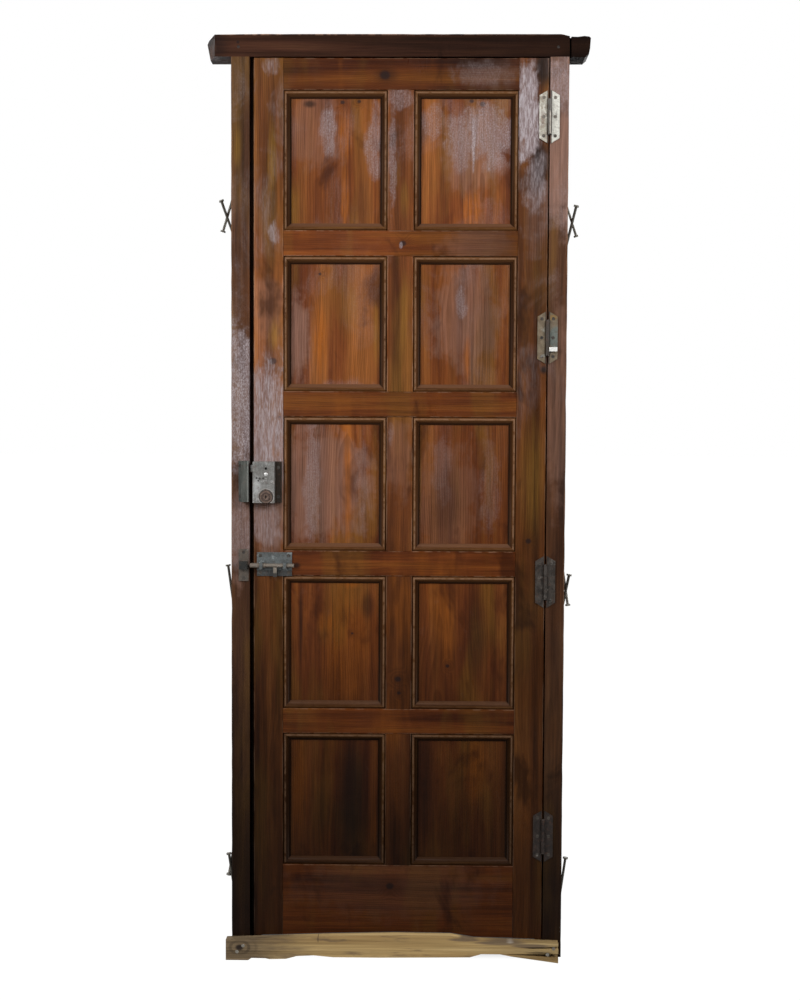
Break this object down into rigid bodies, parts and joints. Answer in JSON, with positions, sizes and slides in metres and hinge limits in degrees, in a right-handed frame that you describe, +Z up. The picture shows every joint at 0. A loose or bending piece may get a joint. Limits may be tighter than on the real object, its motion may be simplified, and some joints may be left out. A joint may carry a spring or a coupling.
{
  "type": "panelled door with frame",
  "caption": "Rectangular timber door leaf with panels in two columns, hung in its own frame with face hinges, a rim lock and a slide bolt.",
  "frame": {"origin": "on the floor, below the middle of the frame in width and depth", "axes": "+Z up, +X from the lock side to the hinge side, -Y out of the front face with the hinges and the lock"},
  "size_m": [0.882, 0.1026, 2.133],
  "materials": {
    "frame_wood": "dark red-brown stain, worn varnish",
    "peg_wood": "dark, dry",
    "raw_wood": "raw sawn, weathered at one end",
    "nail_iron": "dark forged iron",
    "keeper_iron": "dark grey-green, worn at the edges",
    "screw_iron": "tarnished",
    "bolt_keeper_plate_iron": "worn, grey-brown",
    "bolt_staple_iron": "near black",
    "hinge_1_iron": "cream paint worn to bright steel",
    "hinge_2_iron": "worn, ochre and grey-green paint",
    "hinge_3_iron": "dark, worn along the knuckles",
    "hinge_4_iron": "painted over, very dark",
    "pin_iron": "worn",
    "stile_wood": "red-brown stain, worn glossy varnish",
    "rail_wood": "red-brown stain, worn glossy varnish",
    "muntin_wood": "red-brown stain, worn glossy varnish",
    "panel_wood": "orange-brown stain, worn glossy varnish",
    "moulding_wood": "stained, light along the worn beads",
    "lock_steel": "worn grey steel, dark on the flange",
    "lock_inner_steel": "plain steel",
    "bush_iron": "rusty brown",
    "bolt_plate_iron": "worn grey-blue paint",
    "bolt_rod_iron": "worn bright along the top"
  },
  "bodies": {
    "frame": {"head": "frame_wood", "jamb_lock_side": "frame_wood", "jamb_hinge_side": "frame_wood", "frame_pegs": "peg_wood", "base_batten": "raw_wood", "batten_nails": "nail_iron", "fixing_nails_left": "nail_iron", "fixing_nails_right": "nail_iron", "lock_keeper": "keeper_iron", "keeper_screws": "screw_iron", "bolt_keeper_plate": "bolt_keeper_plate_iron", "bolt_staple": "bolt_staple_iron", "hinge_1_jamb_plate": "hinge_1_iron", "hinge_2_jamb_plate": "hinge_2_iron", "hinge_3_jamb_plate": "hinge_3_iron", "hinge_4_jamb_plate": "hinge_4_iron", "hinge_pins": "pin_iron", "jamb_hinge_screws": "screw_iron"},
    "leaf": {"lock_stile": "stile_wood", "hinge_stile": "stile_wood", "top_rail": "rail_wood", "rail_2": "rail_wood", "rail_3": "rail_wood", "rail_4": "rail_wood", "rail_5": "rail_wood", "bottom_rail": "rail_wood", "muntin_1": "muntin_wood", "muntin_2": "muntin_wood", "muntin_3": "muntin_wood", "muntin_4": "muntin_wood", "muntin_5": "muntin_wood", "panel_1_left": "panel_wood", "panel_1_right": "panel_wood", "panel_2_left": "panel_wood", "panel_2_right": "panel_wood", "panel_3_left": "panel_wood", "panel_3_right": "panel_wood", "panel_4_left": "panel_wood", "panel_4_right": "panel_wood", "panel_5_left": "panel_wood", "panel_5_right": "panel_wood", "mouldings_row_1": "moulding_wood", "mouldings_row_2": "moulding_wood", "mouldings_row_3": "moulding_wood", "mouldings_row_4": "moulding_wood", "mouldings_row_5": "moulding_wood", "hinge_1_leaf_plate": "hinge_1_iron", "hinge_2_leaf_plate": "hinge_2_iron", "hinge_3_leaf_plate": "hinge_3_iron", "hinge_4_leaf_plate": "hinge_4_iron", "leaf_hinge_screws": "screw_iron", "lock_case": "lock_steel", "lock_back_plate": "lock_inner_steel", "lock_spring": "lock_inner_steel", "key_barrel": "bush_iron", "back_escutcheon": "bush_iron", "bolt_plate": "bolt_plate_iron", "leaf_fitting_screws": "screw_iron"},
    "tongue": {"lock_tongue": "lock_inner_steel"},
    "rod": {"bolt_rod": "bolt_rod_iron"}
  },
  "joints": [
    {"name": "leaf_swing", "type": "hinge", "parent": "frame", "child": "leaf", "pos_m": [0.3405, -0.03, 0], "axis": [0, 0, 1], "range_deg": [0, 110]},
    {"name": "tongue_slide", "type": "slide", "parent": "leaf", "child": "tongue", "axis": [-1, 0, 0], "range_m": [0, 0.014]},
    {"name": "rod_slide", "type": "slide", "parent": "leaf", "child": "rod", "axis": [-1, 0, 0], "range_m": [0, 0.022]}
  ]
}
